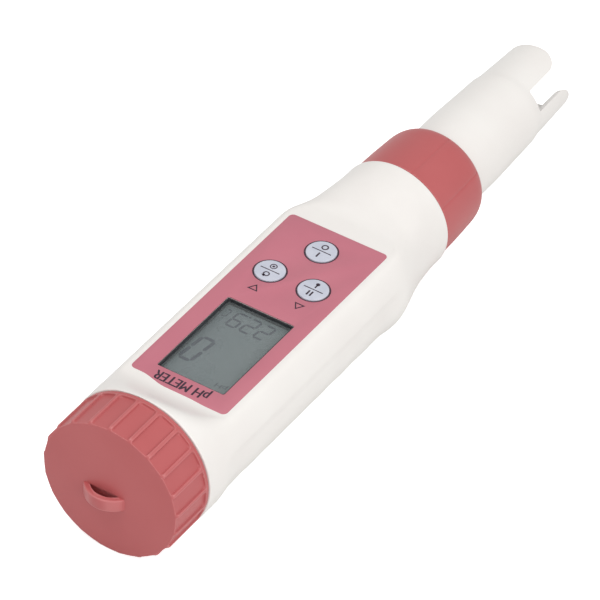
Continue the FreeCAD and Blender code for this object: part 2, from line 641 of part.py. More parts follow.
for number in range(int(size("pin_count"))):
    turn = math.radians(90 + 360 / size("pin_count") * number)
    pin_bars.append(rod_along_pen(
        f"plug_pin_{number + 1}", "pin_radius", "pin_start", "pin_end",
        size("pin_ring_radius") * math.cos(turn), size("pin_ring_radius") * math.sin(turn)))
pin_set = doc.addObject("Part::Compound", "plug_pin_set")
pin_set.Links = pin_bars
publish(pin_set, "plug_pins")

# ---- electrode housing: flange, storage-cap seat, taper, bulkhead and forked tip
housing = new_body("electrode_housing")
turned(housing, "housing_shell", [
    ("plug_start", "reservoir_radius"), ("plug_start", "spigot_two_radius"),
    ("neck_seal_start", "spigot_two_radius"), ("neck_seal_start", "neck_seal_floor"),
    ("neck_seal_end", "neck_seal_floor"), ("neck_seal_end", "spigot_two_radius"),
    ("probe_flange_start", "spigot_two_radius"), ("probe_flange_start", "probe_flange_radius"),
    ("probe_flange_end", "probe_flange_radius"), ("probe_flange_end", "probe_root_radius"),
    ("probe_seat_start", "probe_seat_radius"), ("probe_seat_end", "probe_seat_radius"),
    ("probe_step", "probe_step_radius"), ("probe_fork_start", "probe_fork_radius"),
    ("probe_end", "probe_end_radius"), ("probe_end", "sensor_bore_radius"),
    ("bulkhead_end", "sensor_bore_radius"), ("bulkhead_end", "stem_radius"),
    ("bulkhead_start", "stem_radius"), ("bulkhead_start", "reservoir_radius")])
for side in ("sensor_offset", "-sensor_offset"):
    port = disc(new_sketch(housing, "port_" + side.strip("-") + str(len(side)), "YZ_Plane",
                           "bulkhead_start"), (side, "0"), "sensor_radius")
    swept(housing, "port_cut_" + str(len(side)), port,
          size("bulkhead_end") - size("bulkhead_start"), removes=True, reversed_way=True)


def fork_tool(name, build):
    """A solid cut through the tip across the pen, turned to the fork's own angle."""
    tool = doc.addObject("Part::Feature", name)
    tool.Shape = build()
    tool.Placement = Placement(Vector(0, 0, 0), Rotation(Vector(1, 0, 0), size("slot_angle")))
    return tool


def slot_block():
    """The slot runs along local Y; it is narrow in local Z and open at the pen's tip."""
    reach = size("fork_reach")
    near = Vector(size("probe_fork_start"), -reach, -size("slot_half_width"))
    length = size("probe_end") - near.x + size("fork_clear")
    block = Part.makeBox(length, 2 * reach, 2 * size("slot_half_width"), near)
    closed_end = [edge for edge in block.Edges
                  if all(math.isclose(point.Point.x, near.x) for point in edge.Vertexes)
                  and math.isclose(edge.Length, 2 * reach)]
    return block.makeFillet(size("slot_corner"), closed_end)


def mouth_flare():
    """What widens the slot's mouth, so that each tongue ends in a round corner."""
    radius = size("flare_radius")
    start = size("probe_end") - radius
    reach = size("fork_reach")
    side = size("slot_half_width") + radius
    flare = Part.makeBox(radius + size("fork_clear"), 2 * reach, 2 * side,
                         Vector(start, -reach, -side))
    for middle in (-side, side):
        flare = flare.cut(Part.makeCylinder(radius, 2 * reach, Vector(start, -reach, middle),
                                            Vector(0, 1, 0)))
    return flare


slotted = cut_away("slotted_housing", housing, fork_tool("slot_tool", slot_block))
forked = cut_away("forked_housing", slotted, fork_tool("flare_tool", mouth_flare))
publish(forked, "electrode_housing")

# ---- what the electrode holds: glass stem and bulb, silver wire, junction, temperature sheath
tube = rod_along_pen("stem_tube", "stem_radius", "stem_start", "bulb_station")
ball = doc.addObject("Part::Sphere", "bulb_ball")
ball.setExpression("Radius", "dims.bulb_radius")
ball.Placement = Placement(Vector(size("bulb_station"), 0, 0), Rotation())
tube_bore = rod_along_pen("stem_bore", "stem_bore_radius", "stem_start", "bulb_station")
hollow = doc.addObject("Part::Sphere", "bulb_hollow")
hollow.setExpression("Radius", "dims.bulb_radius - dims.bulb_wall")
hollow.Placement = Placement(Vector(size("bulb_station"), 0, 0), Rotation())
publish(cut_away("glass_shell", joined("glass_outside", [tube, ball]),
                 joined("glass_inside", [tube_bore, hollow])), "glass_electrode")
publish(rod_along_pen("silver_bar", "silver_radius", "wire_start", "wire_end"), "silver_wire")
publish(rod_along_pen("junction_bar", "sensor_radius", "bulkhead_start", "junction_end",
                      -size("sensor_offset")), "reference_junction")
sheath_bar = rod_along_pen("sheath_bar", "sensor_radius", "sensor_start", "sensor_end",
                           size("sensor_offset"))
sheath_tip = doc.addObject("Part::Sphere", "sheath_tip")
sheath_tip.setExpression("Radius", "dims.sensor_radius")
sheath_tip.Placement = Placement(
    Vector(size("sensor_end"), size("sensor_offset"), 0), Rotation())
publish(joined("sheath_parts", [sheath_bar, sheath_tip]), "temperature_probe")

doc.recompute()
for item in doc.Objects:
    if "Invalid" in item.State or "Error" in item.State:
        raise RuntimeError(f"{item.Name} failed: {item.State}")
os.makedirs("parts", exist_ok=True)
for piece in pieces:
    shape = piece.Shape
    if shape.isNull() or not shape.isValid():
        raise RuntimeError(f"{piece.Label} has a bad shape")
    shape.exportStep(f"parts/{piece.Label}.step")
    bounds = shape.BoundBox
    print(f"{piece.Label:28s} solids {len(shape.Solids)}  volume {shape.Volume:9.1f}  "
          f"x {bounds.XMin:7.2f} {bounds.XMax:7.2f}  z {bounds.ZMin:6.2f} {bounds.ZMax:6.2f}")
print(len(pieces), "pieces; rest height", round(REST_HEIGHT, 3), "middle", MIDDLE)
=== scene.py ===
# %% [markdown]
# # A pen-shaped pH meter
# A handheld tester for water: a ribbed battery cap at one end, a white barrel with a label, a
# small display and three keys, and an electrode with a forked tip held by a threaded collar.
# The engineering model is loaded first. Its hidden parts stay as they are and get better
# materials, and each visible moulding is modelled again here with its soft edges and print.

# %% Load the engineering model
import math

import bpy
from mathutils import Matrix, Vector


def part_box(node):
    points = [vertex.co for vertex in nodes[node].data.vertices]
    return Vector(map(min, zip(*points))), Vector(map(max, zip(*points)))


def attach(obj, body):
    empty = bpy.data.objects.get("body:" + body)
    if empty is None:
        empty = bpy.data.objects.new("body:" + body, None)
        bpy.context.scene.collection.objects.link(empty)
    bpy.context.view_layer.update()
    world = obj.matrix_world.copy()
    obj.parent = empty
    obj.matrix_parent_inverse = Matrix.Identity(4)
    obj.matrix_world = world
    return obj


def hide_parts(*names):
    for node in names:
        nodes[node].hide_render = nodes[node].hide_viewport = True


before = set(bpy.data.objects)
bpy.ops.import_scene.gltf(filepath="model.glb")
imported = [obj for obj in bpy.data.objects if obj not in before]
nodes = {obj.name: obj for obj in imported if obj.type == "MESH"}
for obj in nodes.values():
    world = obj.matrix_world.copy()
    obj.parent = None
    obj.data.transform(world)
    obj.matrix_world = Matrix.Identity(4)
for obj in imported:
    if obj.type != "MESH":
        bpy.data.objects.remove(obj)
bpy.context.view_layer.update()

# %% [markdown]
# ## Where things are
# Every place on the pen is given in millimetres: a station along the pen from the cap's end
# face, a side distance across it, and a height above its long axis. One helper turns such a
# place into the model's frame, so the numbers below read like a drawing of the pen, and a
# second helper reads such a place back from a point.

# %% A place on the pen
MM = 0.001
MIDDLE = 91.95
AXIS_HEIGHT = 18.8722


def spot(station, side=0.0, height=0.0):
    """The point in the model's frame at this station, side and height, in millimetres."""
    return Vector(((station - MIDDLE) * MM, side * MM, (height + AXIS_HEIGHT) * MM))


def reading(point):
    """The station, side and height, in millimetres, of a point in the model's frame."""
    return point.x / MM + MIDDLE, point.y / MM, point.z / MM - AXIS_HEIGHT


print("the pen's axis lies", AXIS_HEIGHT, "mm above the table")

# %% [markdown]
# ## The camera
# The pen is seen from beyond its cap, a little over forty degrees above the table, through a
# long lens that keeps its two ends nearly the same size. Placing the camera first means that
# every later piece can be judged in the final view.

# %% Camera
ELEVATION = math.radians(40.509)
HEADING = math.radians(32.303)
ROLL = math.radians(-1.832)
back = Vector((-math.cos(ELEVATION) * math.cos(HEADING),
               -math.cos(ELEVATION) * math.sin(HEADING), math.sin(ELEVATION)))
level = (-back).cross(Vector((0, 0, 1))).normalized()
down = (-back).cross(level)
across = math.cos(ROLL) * level + math.sin(ROLL) * down
upward = math.sin(ROLL) * level - math.cos(ROLL) * down
DISTANCE, AIM_ACROSS, AIM_UP = 1.2, -0.006081, -0.004355
eye = spot(90) + DISTANCE * back + AIM_ACROSS * across + AIM_UP * upward
camera_data = bpy.data.cameras.new("studio_camera")
camera_data.lens = 299.9
camera_data.sensor_width = 36
camera_data.clip_end = 20
camera = bpy.data.objects.new("studio_camera", camera_data)
bpy.context.scene.collection.objects.link(camera)
camera.matrix_world = Matrix.Translation(eye) @ Matrix((across, upward, back)).transposed().to_4x4()
bpy.context.scene.camera = camera
print("the camera stands at", [round(c, 3) for c in eye])

# %% [markdown]
# ## Floor and soft light
# The pen lies on a plain white sweep in a bright, even room: nearly all of the light comes from
# everywhere. One large panel high above the cap and a second one low at the barrel's side give
# the white moulding its gentle shading.
# The sweep is lit a little from behind, as such tables are, so that only a faint shadow is
# left. That glow is for the eye alone, and adds no light to the pen.

# %% World, floor and lamps
world = bpy.data.worlds.new("studio_room")
bpy.context.scene.world = world
world.use_nodes = True
world.node_tree.nodes["Background"].inputs["Color"].default_value = (1.0, 0.995, 0.99, 1)
world.node_tree.nodes["Background"].inputs["Strength"].default_value = 0.60
bpy.context.scene.view_settings.view_transform = "Standard"


def panel_lamp(name, place, size, power):
    """A square soft lamp that faces the middle of the pen."""
    data = bpy.data.lights.new(name, "AREA")
    data.size = size
    data.energy = power
    lamp = bpy.data.objects.new(name, data)
    bpy.context.scene.collection.objects.link(lamp)
    lamp.location = place
    lamp.rotation_euler = (spot(MIDDLE) - Vector(place)).to_track_quat("-Z", "Y").to_euler()


panel_lamp("key_panel", (-0.25, 0.15, 1.2), 0.9, 5.2)
panel_lamp("front_panel", (-0.35, -1.0, 0.5), 0.8, 4.4)
bpy.ops.object.select_all(action="DESELECT")
bpy.ops.mesh.primitive_plane_add(size=6, location=(0, 0, 0))
floor = bpy.context.object
floor.name = "studio_floor"
floor_paint = bpy.data.materials.new("white_sweep")
floor_paint.use_nodes = True
floor_tree = floor_paint.node_tree
floor_shader = floor_tree.nodes["Principled BSDF"]
floor_shader.inputs["Base Color"].default_value = (0.80, 0.80, 0.80, 1)
floor_shader.inputs["Roughness"].default_value = 0.9
floor_shader.inputs["Specular IOR Level"].default_value = 0.0
floor_shader.inputs["Emission Color"].default_value = (1, 1, 1, 1)
sight = floor_tree.nodes.new("ShaderNodeLightPath")
glow = floor_tree.nodes.new("ShaderNodeMath")
glow.operation = "MULTIPLY"
glow.inputs[1].default_value = 0.75
floor_tree.links.new(sight.outputs["Is Camera Ray"], glow.inputs[0])
floor_tree.links.new(glow.outputs["Value"], floor_shader.inputs["Emission Strength"])
floor.data.materials.append(floor_paint)

# %% [markdown]
# ## Materials
# Moulded plastic is never one flat colour. Each finish below mixes two close tints with a
# cloudy noise, varies its gloss a little, and has a very fine grain pressed into it by the
# mould. Some finishes are made paler where the surface is sharp, apart from the smooth end
# face: on the rose mouldings this is a painted highlight along the ribs and edges, where the
# light catches them, and on the black mouldings it stands for worn edges.

# %% Wear and painted highlight on sharp edges
def edge_wear_and_highlight(tree, colour, pale, first, full):
    """Blend a pale tint over a colour where the surface is sharp, but not on the end face: edge
    wear, and a painted highlight on the rose parts.
    """
    edge = tree.nodes.new("ShaderNodeNewGeometry")
    sharp = tree.nodes.new("ShaderNodeValToRGB")
    sharp.color_ramp.elements[0].position = first
    sharp.color_ramp.elements[1].position = full
    tree.links.new(edge.outputs["Pointiness"], sharp.inputs["Fac"])
    facing = tree.nodes.new("ShaderNodeSeparateXYZ")
    tree.links.new(edge.outputs["Normal"], facing.inputs[0])
    end_face = tree.nodes.new("ShaderNodeMapRange")
    end_face.inputs["From Min"].default_value = -0.99
    end_face.inputs["From Max"].default_value = -0.92
    tree.links.new(facing.outputs["X"], end_face.inputs["Value"])
    # The pale tint on sharp edges is a painted highlight on the rose parts and wear on the black
    # ones.
    worn_and_highlit = tree.nodes.new("ShaderNodeMath")
    worn_and_highlit.operation = "MULTIPLY"
    tree.links.new(sharp.outputs["Color"], worn_and_highlit.inputs[0])
    tree.links.new(end_face.outputs["Result"], worn_and_highlit.inputs[1])
    pale_edge_mix = tree.nodes.new("ShaderNodeMix")
    pale_edge_mix.data_type = "RGBA"
    tree.links.new(worn_and_highlit.outputs["Value"], pale_edge_mix.inputs[0])
    tree.links.new(colour, pale_edge_mix.inputs[6])
    pale_edge_mix.inputs[7].default_value = (*pale, 1)
    return pale_edge_mix.outputs[2]


# %% A finish made of noise
def finish(name, tints, gloss, grain=(2600, 0.06), cloud=55, wear_and_highlight=None, metal=0.0):
    """A material with two tints, a range of roughness, a fine grain, and paler sharp edges for wear
    and painted highlight.
    """
    material = bpy.data.materials.new(name)
    material.use_nodes = True
    tree = material.node_tree
    shader = tree.nodes["Principled BSDF"]
    place = tree.nodes.new("ShaderNodeTexCoord")
    clouds = tree.nodes.new("ShaderNodeTexNoise")
    clouds.inputs["Scale"].default_value = cloud
    clouds.inputs["Detail"].default_value = 4
    tree.links.new(place.outputs["Object"], clouds.inputs["Vector"])
    tint = tree.nodes.new("ShaderNodeValToRGB")
    tint.color_ramp.elements[0].position = 0.35
    tint.color_ramp.elements[1].position = 0.65
    tint.color_ramp.elements[0].color = (*tints[0], 1)
    tint.color_ramp.elements[1].color = (*tints[1], 1)
    tree.links.new(clouds.outputs["Fac"], tint.inputs["Fac"])
    colour = tint.outputs["Color"]
    # Paler sharp edges: painted highlight on the rose parts, wear on the black ones.
    if wear_and_highlight:
        colour = edge_wear_and_highlight(tree, colour, *wear_and_highlight)
    tree.links.new(colour, shader.inputs["Base Color"])
    smears = tree.nodes.new("ShaderNodeTexNoise")
    smears.inputs["Scale"].default_value = cloud * 4
    smears.inputs["Detail"].default_value = 3
    tree.links.new(place.outputs["Object"], smears.inputs["Vector"])
    rough = tree.nodes.new("ShaderNodeMapRange")
    rough.inputs["To Min"].default_value = gloss[0]
    rough.inputs["To Max"].default_value = gloss[1]
    tree.links.new(smears.outputs["Fac"], rough.inputs["Value"])
    tree.links.new(rough.outputs["Result"], shader.inputs["Roughness"])
    fine = tree.nodes.new("ShaderNodeTexNoise")
    fine.inputs["Scale"].default_value = grain[0]
    fine.inputs["Detail"].default_value = 2
    tree.links.new(place.outputs["Object"], fine.inputs["Vector"])
    press = tree.nodes.new("ShaderNodeBump")
    press.inputs["Strength"].default_value = grain[1]
    press.inputs["Distance"].default_value = 0.05 * MM
    tree.links.new(fine.outputs["Fac"], press.inputs["Height"])
    tree.links.new(press.outputs["Normal"], shader.inputs["Normal"])
    shader.inputs["Metallic"].default_value = metal
    return material


# %% The pen's own finishes
def tone(red, green, blue):
    """A colour as it is read off a paint chart, turned to the linear light that shaders use."""
    return tuple(((c / 255 + 0.055) / 1.055) ** 2.4 for c in (red, green, blue))


# The rose moulding's pale edge tint is a painted highlight on its ribs and rounded edges, where the
# light catches them.
rose = finish("rose_moulding", (tone(187, 92, 93), tone(191, 97, 98)), (0.32, 0.42),
              grain=(2400, 0.06), wear_and_highlight=(tone(208, 126, 126), 0.51, 0.56))
white = finish("white_moulding", (tone(240, 236, 232), tone(243, 240, 236)), (0.30, 0.40),
               grain=(1800, 0.05))
film = finish("label_film", (tone(194, 113, 128), tone(198, 118, 132)), (0.38, 0.46),
              grain=(3200, 0.10))
print_ink = finish("plum_ink", (tone(44, 24, 42), tone(56, 34, 52)), (0.45, 0.55), cloud=400)
silver = finish("silver_key_paint", (tone(196, 200, 214), tone(206, 209, 221)), (0.34, 0.42),
                grain=(5200, 0.12), cloud=300)
grey = finish("grey_moulding", (tone(126, 129, 132), tone(138, 140, 143)), (0.45, 0.55),
              grain=(2200, 0.12))
black = finish("black_moulding", (tone(38, 40, 44), tone(50, 53, 57)), (0.42, 0.52),
               grain=(2600, 0.12), wear_and_highlight=(tone(96, 98, 102), 0.55, 0.65))
rubber = finish("seal_rubber", (tone(28, 28, 29), tone(40, 40, 41)), (0.55, 0.7),
                grain=(4200, 0.2))
diffuser = finish("frosted_diffuser", (tone(226, 230, 226), tone(234, 238, 234)), (0.5, 0.6))
ceramic = finish("porous_ceramic", (tone(222, 220, 212), tone(238, 236, 230)), (0.8, 0.95),
                 grain=(7000, 0.5), cloud=900)
steel = finish("bright_steel", (tone(196, 197, 200), tone(214, 215, 217)), (0.22, 0.36),
               grain=(5200, 0.08), metal=1.0)
gold = finish("gold_plate", (tone(212, 172, 92), tone(226, 188, 108)), (0.18, 0.28),
              grain=(5200, 0.05), metal=1.0)
print("finishes:", len(bpy.data.materials))

# %% [markdown]
# Clear pieces let the light through instead of scattering it. The display's lens is a flat
# clear sheet, so plain see-through with a gloss is truer than bending the light. The electrode's
# glass is thin, slightly cloudy glass, seen only through the fork.

# %% Clear lens and electrode glass
lens_clear = finish("clear_lens", (tone(196, 204, 204), tone(206, 213, 213)), (0.10, 0.16),
                    grain=(900, 0.001))
lens_clear.node_tree.nodes["Principled BSDF"].inputs["Alpha"].default_value = 0.10
lens_clear.node_tree.nodes["Principled BSDF"].inputs["IOR"].default_value = 1.49
glass = finish("electrode_glass", (tone(214, 226, 232), tone(224, 234, 238)), (0.06, 0.12),
               grain=(1200, 0.02))
glass.node_tree.nodes["Principled BSDF"].inputs["Alpha"].default_value = 0.35
glass.node_tree.nodes["Principled BSDF"].inputs["IOR"].default_value = 1.52
print("lens and glass ready")

# %% [markdown]
# The circuit board has its own look: green solder mask with copper traces showing through as a
# slightly lighter pattern. A brick texture, stretched along the board, makes the rows of traces.

# %% Circuit board
board = finish("board_green", (tone(22, 84, 48), tone(30, 98, 58)), (0.28, 0.36))
board_tree = board.node_tree
traces = board_tree.nodes.new("ShaderNodeTexBrick")
traces.inputs["Scale"].default_value = 160
traces.inputs["Mortar Size"].default_value = 0.06
traces.inputs["Color1"].default_value = (*tone(24, 92, 52), 1)
traces.inputs["Color2"].default_value = (*tone(34, 108, 62), 1)
traces.inputs["Mortar"].default_value = (*tone(64, 140, 88), 1)
board_tree.links.new(board_tree.nodes["Texture Coordinate"].outputs["Object"],
                     traces.inputs["Vector"])
board_tree.links.new(traces.outputs["Color"],
                     board_tree.nodes["Principled BSDF"].inputs["Base Color"])
print("board traces drawn")

# %% Give the carried-over nodes their finishes
looks = {
    "battery_holder": grey, "electrode_plug": grey, "electrode_socket": grey,
    "cap_o_ring": rubber, "neck_o_ring": rubber, "zebra_strip": rubber,
    "battery_spring": steel, "positive_contact": steel, "negative_contact": steel,
    "holder_screws": steel, "temperature_probe": steel, "clock_crystal": steel,
    "silver_wire": steel, "plug_pins": gold, "display_window": lens_clear,
    "backlight_plate": diffuser, "circuit_board": board,
    "microcontroller": black, "probe_amplifier": black, "glass_electrode": glass,
    "reference_junction": ceramic, "button_cell_1": steel, "button_cell_2": steel,
    "button_cell_3": steel, "button_cell_4": steel}
for key in ("power_key", "mode_key", "hold_key"):
    looks[key + "_switch_stem"] = black
    looks[key + "_tact_switch"] = black
for name, look in looks.items():
    nodes[name].data.materials.clear()
    nodes[name].data.materials.append(look)
print(len(looks), "carried-over nodes have a finish")

# %% [markdown]
# ## Making round parts
# Most of the pen is turned: a half outline, spun about an axis. The outline grows point by
# point, by extruding a single vertex, and the corners of the outline are eased first, because
# no moulded part has a perfectly sharp edge.

# %% Helpers for turned parts
def start_fresh():
    """Nothing selected and object mode, ready for the next primitive."""
    if bpy.context.mode != "OBJECT":
        bpy.ops.object.mode_set(mode="OBJECT")
    bpy.ops.object.select_all(action="DESELECT")


def eased(corners, steps=4):
    """An outline of (station, radius, rounding) corners with each corner rounded off."""
    line = []
    turns = zip(corners[-1:] + corners[:-1], corners, corners[1:] + corners[:1])
    for before, corner, after in turns:
        here = Vector(corner[:2])
        if corner[2] == 0:
            line.append(tuple(here))
            continue
        ways = [Vector(other[:2]) - here for other in (before, after)]
        ends = [here + way.normalized() * min(corner[2], way.length * 0.48) for way in ways]
        for step in range(steps + 1):
            share = step / steps
            line.append(tuple(ends[0] * (1 - share) ** 2 + here * 2 * share * (1 - share)
                              + ends[1] * share ** 2))
    return line


def refined(line, longest):
    """The same outline with its long runs divided, so that later shaping has points to move."""
    fine = [line[0]]
    for first, last in zip(line, line[1:]):
        run = Vector(last) - Vector(first)
        count = max(1, math.ceil(run.length / longest))
        fine += [tuple(Vector(first) + run * step / count) for step in range(1, count + 1)]
    return fine


def tidy_mesh():
    """In edit mode: merge doubles and point every face outwards."""
    bpy.ops.mesh.select_all(action="SELECT")
    bpy.ops.mesh.remove_doubles(threshold=0.002 * MM)
    bpy.ops.mesh.normals_make_consistent(inside=False)
    bpy.ops.object.mode_set(mode="OBJECT")


def spun(name, line, centre, upright=False, steps=128):
    """Spin an outline about the pen's axis, or about a vertical axis when upright."""
    start_fresh()
    lead = (lambda along, out: (out, 0, along)) if upright else (lambda along, out: (along, 0, out))
    first = centre + Vector(lead(*line[0])) * MM
    bpy.ops.mesh.primitive_plane_add(size=MM, location=first)
    piece = bpy.context.object
    piece.name = name
    bpy.ops.object.mode_set(mode="EDIT")
    bpy.ops.mesh.merge(type="CENTER")
    for (along, out), (next_along, next_out) in zip(line, line[1:]):
        move = Vector(lead(next_along - along, next_out - out)) * MM
        bpy.ops.mesh.extrude_region_move(TRANSFORM_OT_translate={"value": move})
    bpy.ops.mesh.select_all(action="SELECT")
    bpy.ops.mesh.spin(steps=steps, angle=math.tau, center=centre,
                      axis=(0, 0, 1) if upright else (1, 0, 0))
    tidy_mesh()
    bpy.ops.object.transform_apply(location=True, rotation=True, scale=True)
    return piece


def apply_modifier(piece, kind, **settings):
    """Add one modifier, set it and apply it."""
    start_fresh()
    piece.select_set(True)
    bpy.context.view_layer.objects.active = piece
    modifier = piece.modifiers.new(kind.lower(), kind)
    for setting, value in settings.items():
        setattr(modifier, setting, value)
    bpy.ops.object.modifier_apply(modifier=modifier.name)


def carve(piece, tool, operation="DIFFERENCE"):
    """Cut a tool out of a piece, or add it on, and throw the tool away."""
    apply_modifier(piece, "BOOLEAN", object=tool, operation=operation, solver="EXACT")
    bpy.data.objects.remove(tool)


def finish_piece(piece, look, body, stands_for=(), angle=35):
    """Shade a piece, give it its finish, and let it ride on a body of the model."""
    start_fresh()
    piece.select_set(True)
    bpy.context.view_layer.objects.active = piece
    bpy.ops.object.shade_smooth_by_angle(angle=math.radians(angle))
    piece.data.materials.clear()
    piece.data.materials.append(look)
    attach(piece, body)
    if stands_for:
        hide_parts(*stands_for)
    print(f"{piece.name}: {len(piece.data.polygons)} faces")


# %% Helpers for flat parts
def plate(name, outline, bottom, top):
    """A flat plate: a filled circle whose points are moved to the outline, then extruded."""
    start_fresh()
    bpy.ops.mesh.primitive_circle_add(vertices=len(outline), radius=MM, fill_type="NGON",
                                      location=(0, 0, 0))
    piece = bpy.context.object
    piece.name = name
    for vertex, (station, side) in zip(piece.data.vertices, outline):
        vertex.co = spot(station, side, bottom)
    bpy.ops.object.mode_set(mode="EDIT")
    bpy.ops.mesh.select_all(action="SELECT")
    bpy.ops.mesh.extrude_region_move(
        TRANSFORM_OT_translate={"value": (0, 0, (top - bottom) * MM)})
    tidy_mesh()
    return piece


def rounded_rectangle(near, far, corner, steps=6):
    """Points round a rectangle between two (station, side) corners."""
    points = []
    centres = ((far[0] - corner, far[1] - corner), (near[0] + corner, far[1] - corner),
               (near[0] + corner, near[1] + corner), (far[0] - corner, near[1] + corner))
    for quarter, (along, across_pen) in enumerate(centres):
        for step in range(steps + 1):
            turn = math.radians(90 * (quarter + step / steps))
            points.append((along + corner * math.cos(turn), across_pen + corner * math.sin(turn)))
    return points


def merged(name, parts):
    """Join several parts into one piece."""
    start_fresh()
    for part in parts:
        part.select_set(True)
    bpy.context.view_layer.objects.active = parts[0]
    if len(parts) > 1:
        bpy.ops.object.join()
    parts[0].name = name
    return parts[0]


def soft_min(first, second, blend):
    """The smaller of two heights, with a soft blend where they meet."""
    near = max(blend - abs(first - second), 0.0) / blend
    return min(first, second) - near * near * blend / 4


def smooth_step(low, high, value):
    """From 0 at low to 1 at high, easing in and out."""
    share = min(max((value - low) / (high - low), 0.0), 1.0)
    return share * share * (3 - 2 * share)


def mesh_places(piece):
    """Every vertex with its station, side and height in millimetres."""
    for vertex in piece.data.vertices:
        yield vertex, *reading(vertex.co)


print("helpers ready")

# %% [markdown]
# ## The barrel
# The barrel is one white moulding: a threaded spigot for the cap, a round body 38 mm across, a
# taper and a threaded neck. It is turned first. Then its skin is pressed to shape, point by
# point: flat on top for the label with soft ramps at both ends, a narrow flat to lie on, and
# shallow grips down both sides. Pressing a fine mesh gives the blended edges of a moulding,
# which a straight cut would not.

# %% Turn the barrel
SPIGOT, SHOULDER = 4.0, 13.1
skin = eased([
    (SPIGOT, 0.0, 0), (SPIGOT, 16.9, 0.5), (11.0, 16.9, 0.1), (11.0, 15.9, 0.1),
    (12.6, 15.9, 0.1), (12.6, 16.9, 0.1), (SHOULDER, 16.9, 0.1), (SHOULDER, 19.1, 0.45),
    (97.0, 19.1, 2.4), (101.0, 18.1, 1.6), (106.0, 16.75, 2.0), (111.0, 15.85, 2.4),
    (117.0, 15.35, 2.0), (121.0, 15.35, 0.3), (121.0, 13.3, 0.1), (133.2, 13.3, 0.4),
    (133.2, 0.0, 0)], steps=5)
barrel = spun("barrel_shell", refined(skin, 0.8), spot(0), steps=288)
print("turned barrel:", len(barrel.data.vertices), "points")


# %% Press the label flat, the belly and the grips
FLAT, BELLY = 10.8, -18.85
CAP_RAMP, NECK_RAMP = 26.3, 101.0
SPIGOT_THREAD, NECK_THREAD = (4.8, 10.4, 0.75), (122.4, 129.0, 0.65)
GRIP_DEPTH, RIPPLE_DEPTH, RIPPLE_PITCH = 0.68, 0.08, 9.5


def flat_height(station):
    """Height of the display flat at a station; it sweeps up into the round at both ends."""
    if station < CAP_RAMP:
        share = (CAP_RAMP - station) / 12.0
        return FLAT + 8.6 * share ** 1.65
    share = max(station - NECK_RAMP, 0.0) / 13.0
    return FLAT + 5.2 * share ** 1.6


def thread_wave(station, side, height, pitch=3.0):
    """0 to 1 along a right-hand helix: how deep a thread's groove is at this point."""
    turn = math.atan2(side, height) / math.tau
    phase = (station / pitch - turn) % 1.0
    return smooth_step(0.18, 0.42, abs(phase - 0.5))


def press_barrel():
    """Thread grooves near the two ends; grips, label flat and belly in between."""
    for vertex, station, side, height in mesh_places(barrel):
        radius = math.hypot(side, height)
        if radius < 1:
            continue
        if station < 10.4 or station > 122.0:
            first, last, depth = SPIGOT_THREAD if station < MIDDLE else NECK_THREAD
            ends = smooth_step(first, first + 0.8, station) * smooth_step(last, last - 0.8, station)
            wave = thread_wave(station, side, height) * depth * ends
            if radius > 13.0:
                side *= (radius - wave) / radius
                height *= (radius - wave) / radius
        elif SHOULDER < station < 120:
            beside = smooth_step(4.5, 1.5, height) * smooth_step(-16.5, -14.0, height)
            along = smooth_step(19.0, 26.0, station) * smooth_step(97.5, 90.0, station)
            ripple = 0.5 - 0.5 * math.cos(math.tau * (station - 26.0) / RIPPLE_PITCH)
            grip = beside * along * (GRIP_DEPTH + RIPPLE_DEPTH * ripple)
            side *= (radius - grip) / radius
            height *= (radius - grip) / radius
            if height > 5:
                height = soft_min(height, flat_height(station),
                                  1.6 + 5.0 * smooth_step(97.0, 108.0, station)
                                  + 2.5 * smooth_step(27.0, 20.0, station))
            if height < -15:
                height = -soft_min(-height, -BELLY, 0.12)
        vertex.co = spot(station, side, height)


press_barrel()
print("the flat lies at", round(flat_height(60), 2), "mm above the axis")

# %% [markdown]
# The inside of the barrel holds the battery, the board and the electrode's socket. It is cut
# out with turned tools. The openings for the display and the three keys are cut through the
# flat, and the label gets its own shallow recess.

# %% Hollow the barrel
chamber = spun("chamber_tool", [(14.0, 0.0), (14.0, 16.2), (103.0, 16.2), (103.0, 0.0)], spot(0))
ceiling = plate("ceiling_tool", [(10, -20), (10, 20), (106, 20), (106, -20)], 8.6, 24)
carve(chamber, ceiling)
carve(barrel, chamber)
for name, line in (
        ("mouth_tool", [(3.0, 0.0), (3.0, 14.6), (14.2, 14.6), (14.2, 0.0)]),
        ("wire_tool", [(102.8, 0.0), (102.8, 8.3), (109.5, 8.3), (109.5, 0.0)]),
        ("neck_tool", [(109.0, 0.0), (109.0, 11.7), (134.0, 11.7), (134.0, 0.0)])):
    carve(barrel, spun(name, line, spot(0)))
print("hollowed barrel:", len(barrel.data.polygons), "faces")

# %% Openings and label recess
WINDOW = ((32.0, -9.7), (61.7, 9.1))
LABEL = ((26.5, -13.9), (95.9, 13.9))
KEYS = {"power_key": (87.8, 0.0), "mode_key": (74.9, 6.15), "hold_key": (74.9, -6.15)}


def label_outline(corner):
    """The label's outline: straight sides, and a slow swing in the edge next to the cap."""
    points = rounded_rectangle(*LABEL, corner)
    low, high = LABEL[0][1] + corner, LABEL[1][1] - corner
    cap_edge = [(LABEL[0][0], high + (low - high) * step / 24) for step in range(1, 24)]
    half = len(points) // 2
    points[half:half] = cap_edge
    return [(station + 1.4 * smooth_step(3.0, 10.5, side) - 0.3 * smooth_step(-3.0, -9.0, side),
             side) if station < 35 else (station, side) for station, side in points]


def copied_to(key, pattern, name):
    """A copy of a pattern made at the power key, with its own mesh, moved to this key."""
    piece = pattern.copy()
    piece.data = pattern.data.copy()
    piece.name = name
    piece.data.transform(Matrix.Translation(spot(*KEYS[key]) - spot(*KEYS["power_key"])))
    bpy.context.scene.collection.objects.link(piece)
    return piece


